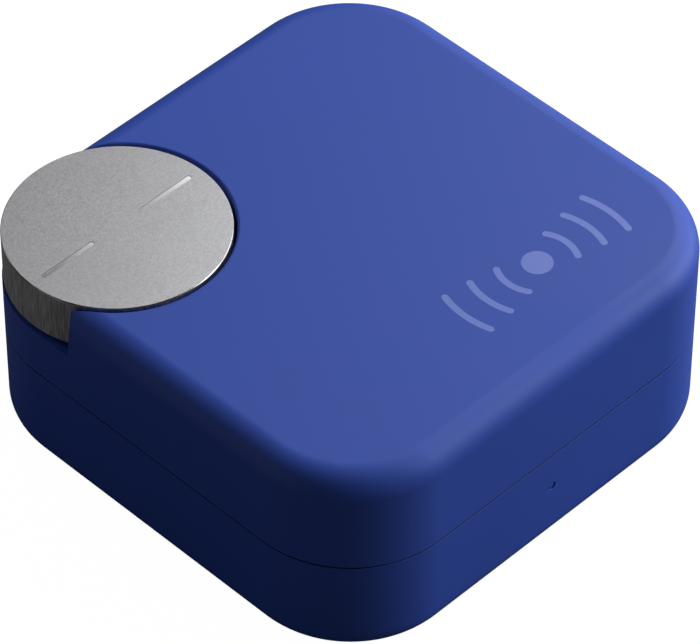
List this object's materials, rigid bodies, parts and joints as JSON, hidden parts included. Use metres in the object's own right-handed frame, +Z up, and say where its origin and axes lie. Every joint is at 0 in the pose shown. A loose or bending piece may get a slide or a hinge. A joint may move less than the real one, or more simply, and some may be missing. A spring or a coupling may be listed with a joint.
{
  "type": "bluetooth tracker tag",
  "caption": "Square rounded item tracker in two moulded shells, with a round metal turn-and-press dial let into one corner and a coin-cell door underneath.",
  "frame": {"origin": "centre of the square footprint, on the plane the four rubber feet rest on", "axes": "+X right, +Y back, +Z up through the top face; the dial is in the -X +Y corner and the light outlet is in the middle of the -Y side"},
  "size_m": [0.04, 0.04, 0.0177],
  "materials": {
    "shell_blue": "fine soft-touch texture",
    "seal_black": "matt silicone",
    "foot_rubber": "matt silicone",
    "screw_steel": "zinc plated",
    "brass_parts": "turned",
    "cell_steel": "nickel plated can",
    "frame_white": "natural moulded",
    "contact_metal": "gold flashed spring sheet",
    "board_green": "solder mask",
    "chip_black": "moulded epoxy",
    "can_metal": "tin plated",
    "ceramic_white": "fired ceramic",
    "smd_tan": "fired ceramic",
    "led_clear": "clear epoxy with phosphor",
    "pipe_blue": "tinted translucent",
    "button_red": "moulded",
    "hub_pom": "natural acetal",
    "magnet_grey": "bonded ferrite",
    "dial_aluminium": "fine bead-blasted face, brushed side"
  },
  "bodies": {
    "case": {"top_shell": "shell_blue", "bottom_shell": "shell_blue", "case_seal": "seal_black", "feet": "foot_rubber", "case_screws": "screw_steel", "threaded_inserts": "brass_parts", "coin_cell": "cell_steel", "battery_frame": "frame_white", "contact_negative": "contact_metal", "contact_positive": "contact_metal", "main_board": "board_green", "radio_soc": "chip_black", "shield_can": "can_metal", "chip_antenna": "ceramic_white", "crystal": "can_metal", "smd_parts": "smd_tan", "board_screws": "screw_steel", "status_led": "led_clear", "light_pipe": "pipe_blue", "piezo_plate": "brass_parts", "piezo_ceramic": "ceramic_white", "buzzer_pins": "contact_metal", "switch_body": "chip_black", "switch_dome": "screw_steel", "hall_sensors": "chip_black", "dial_bush": "brass_parts", "click_spring": "screw_steel"},
    "plunger": {"spindle": "screw_steel", "retaining_ring": "screw_steel", "hub_screw": "screw_steel", "switch_button": "button_red"},
    "dial": {"dial_cap": "dial_aluminium", "dial_hub": "hub_pom", "magnet_ring": "magnet_grey"},
    "battery_door": {"battery_door": "shell_blue", "door_seal": "seal_black"}
  },
  "joints": [
    {"name": "dial_press", "type": "slide", "parent": "case", "child": "plunger", "axis": [0, 0, -1], "range_m": [0, 0.00025], "stiffness_N_per_m": 1500, "springref_m": -0.0005, "deforming": ["switch_dome"]},
    {"name": "dial_turn", "type": "hinge", "parent": "plunger", "child": "dial", "pos_m": [-0.0116, 0.0116, 0.0177], "axis": [0, 0, 1], "continuous": true},
    {"name": "door_turn", "type": "hinge", "parent": "case", "child": "battery_door", "pos_m": [0, 0, 0.0003], "axis": [0, 0, -1], "range_deg": [0, 40]}
  ]
}
